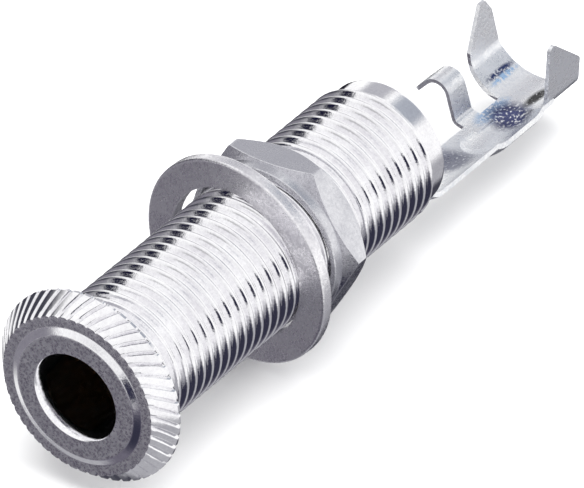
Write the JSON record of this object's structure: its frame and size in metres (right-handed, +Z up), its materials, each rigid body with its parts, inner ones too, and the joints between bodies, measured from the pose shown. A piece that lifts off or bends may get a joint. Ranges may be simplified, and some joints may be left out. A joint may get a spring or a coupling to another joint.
{
  "type": "panel socket",
  "caption": "Single-hole panel socket for a 6.35 mm plug: knurled round head, long threaded barrel, hexagon nut, flat washer and a folded solder lug with a cable clamp.",
  "frame": {"origin": "on the barrel's axis, in the plane where the head seats on the panel", "axes": "+Y along the barrel from the mouth to the solder lug, +Z up, the way the lug's gutter opens"},
  "size_m": [0.0163, 0.0575, 0.0163],
  "materials": {
    "nickel_plated_brass": "bright nickel plating",
    "nickel_plated_steel": "bright nickel plating",
    "tinned_sheet": "bright tin plating",
    "spring_alloy": "bright",
    "film_insulation": "plain film",
    "moulded_insulation": "moulded"
  },
  "bodies": {
    "housing": {"barrel": "nickel_plated_brass", "insulating_liner": "film_insulation", "front_insulator": "moulded_insulation", "rear_insulator": "moulded_insulation", "tip_tag": "tinned_sheet", "sleeve_lug": "tinned_sheet"},
    "washer": {"flat_washer": "nickel_plated_steel"},
    "nut": {"hex_nut": "nickel_plated_brass"},
    "tip_contact": {"tip_spring": "spring_alloy"}
  },
  "joints": [
    {"name": "washer_slide", "type": "slide", "parent": "housing", "child": "washer", "axis": [0, 1, 0], "range_m": [-0.0169, 0.0099]},
    {"name": "nut_turn", "type": "hinge", "parent": "washer", "child": "nut", "pos_m": [0, 0.0224, 0], "axis": [0, 1, 0], "range_deg": [-6090, 3570]},
    {"name": "tip_spring_flex", "type": "hinge", "parent": "housing", "child": "tip_contact", "pos_m": [0, 0.0328, 0.00347], "axis": [-1, 0, 0], "range_deg": [0, 7], "stiffness_Nm_per_rad": 0.2}
  ],
  "couplings": [
    {"joint": "nut_turn", "follows": "washer_slide", "rad_per_m": 6283.2}
  ]
}
